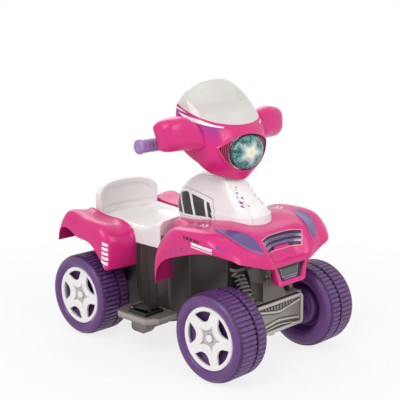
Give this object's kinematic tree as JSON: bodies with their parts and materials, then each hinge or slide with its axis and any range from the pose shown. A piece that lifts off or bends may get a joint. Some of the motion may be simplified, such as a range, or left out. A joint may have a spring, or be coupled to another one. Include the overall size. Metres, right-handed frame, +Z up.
{
  "type": "ride-on quad bike",
  "caption": "Child's pink and white battery quad bike with purple wheels, a turning head with hand guards, a raised seat, grey footrests and a foot pedal.",
  "frame": {"origin": "on the ground under the middle of the quad's overall box", "axes": "+X forward towards the nose, +Y to the rider's left, +Z up"},
  "size_m": [0.7074, 0.49, 0.701],
  "materials": {
    "pink_body": "gloss",
    "purple": "gloss",
    "white": "gloss",
    "grey": "satin",
    "dark": "matte",
    "silver": "satin",
    "steel": "satin",
    "clear": "gloss",
    "lamp": "gloss",
    "bright": "gloss",
    "gear": "satin"
  },
  "bodies": {
    "chassis": {"chassis_tub": "grey", "footrest_right": "grey", "footrest_left": "grey", "front_fairing": "pink_body", "rear_fender": "pink_body", "seat_moulding": "white", "tank_moulding": "white", "fender_lens_right": "purple", "fender_lens_left": "purple", "grille_panel": "dark", "grille_bars": "purple", "bumper_insert": "dark", "nose_bracket": "dark", "steering_bushes": "gear", "battery": "dark", "motor": "steel", "gearbox_case": "dark", "gearbox_cover": "dark", "rear_axle": "steel", "rear_axle_nuts": "steel", "pedal_base": "dark", "pedal_pin": "steel", "pedal_spring": "steel", "body_screws": "steel"},
    "front_unit": {"front_beam": "silver", "suspension_tower": "dark", "shock_dampers": "dark", "shock_spring_right": "steel", "shock_spring_left": "steel", "kingpin": "steel", "front_axle": "steel", "front_axle_nuts": "steel"},
    "steering_head": {"steering_column": "steel", "bar_clamp": "dark", "handlebar": "steel", "grip_right": "purple", "grip_left": "purple", "head_fairing": "pink_body", "head_rear_cover": "pink_body", "windshield": "clear", "lamp_panel": "dark", "lamp_louvres": "pink_body", "lamp_lens": "lamp", "lamp_reflector": "bright", "hand_guard_right": "pink_body", "hand_guard_left": "pink_body"},
    "front_right_wheel": {"wheel_front_right": "purple", "hub_cap_front_right": "white"},
    "front_left_wheel": {"wheel_front_left": "purple", "hub_cap_front_left": "white"},
    "rear_right_wheel": {"wheel_rear_right": "purple", "hub_cap_rear_right": "white", "drive_gear": "gear"},
    "rear_left_wheel": {"wheel_rear_left": "purple", "hub_cap_rear_left": "white"},
    "second_shaft_gear": {"second_gear": "gear"},
    "first_shaft_gear": {"first_gear": "gear"},
    "motor_shaft_pinion": {"motor_pinion": "steel"},
    "foot_pedal": {"pedal": "dark"}
  },
  "joints": [
    {"name": "steer", "type": "hinge", "parent": "chassis", "child": "steering_head", "pos_m": [0.21975, 0, 0.27], "axis": [-0.4617, 0, 0.887], "range_deg": [-18, 18]},
    {"name": "axle_swing", "type": "hinge", "parent": "chassis", "child": "front_unit", "pos_m": [0.21975, 0, 0.252], "axis": [0, 0, 1], "range_deg": [-16, 16]},
    {"name": "front_right_spin", "type": "hinge", "parent": "front_unit", "child": "front_right_wheel", "pos_m": [0.24375, -0.1735, 0.11], "axis": [0, 1, 0], "continuous": true},
    {"name": "front_left_spin", "type": "hinge", "parent": "front_unit", "child": "front_left_wheel", "pos_m": [0.24375, 0.1735, 0.11], "axis": [0, 1, 0], "continuous": true},
    {"name": "rear_right_spin", "type": "hinge", "parent": "chassis", "child": "rear_right_wheel", "pos_m": [-0.24375, -0.1735, 0.11], "axis": [0, 1, 0], "continuous": true},
    {"name": "rear_left_spin", "type": "hinge", "parent": "chassis", "child": "rear_left_wheel", "pos_m": [-0.24375, 0.1735, 0.11], "axis": [0, 1, 0], "continuous": true},
    {"name": "second_gear_spin", "type": "hinge", "parent": "chassis", "child": "second_shaft_gear", "pos_m": [-0.20534, -0.08, 0.13042], "axis": [0, 1, 0], "continuous": true},
    {"name": "first_gear_spin", "type": "hinge", "parent": "chassis", "child": "first_shaft_gear", "pos_m": [-0.16988, -0.075, 0.13796], "axis": [0, 1, 0], "continuous": true},
    {"name": "motor_spin", "type": "hinge", "parent": "chassis", "child": "motor_shaft_pinion", "pos_m": [-0.14695, -0.07, 0.1219], "axis": [0, 1, 0], "continuous": true},
    {"name": "pedal_press", "type": "hinge", "parent": "chassis", "child": "foot_pedal", "pos_m": [-0.05575, -0.166, 0.112], "axis": [0, 1, 0], "range_deg": [0, 7], "stiffness_Nm_per_rad": 0.4, "springref_deg": -6.02, "deforming": ["pedal_spring"]}
  ],
  "couplings": [
    {"joint": "axle_swing", "follows": "steer", "ratio": 0.887},
    {"joint": "second_gear_spin", "follows": "rear_right_spin", "ratio": -3.1429},
    {"joint": "first_gear_spin", "follows": "rear_right_spin", "ratio": 10.879},
    {"joint": "motor_spin", "follows": "rear_right_spin", "ratio": -39.89}
  ]
}
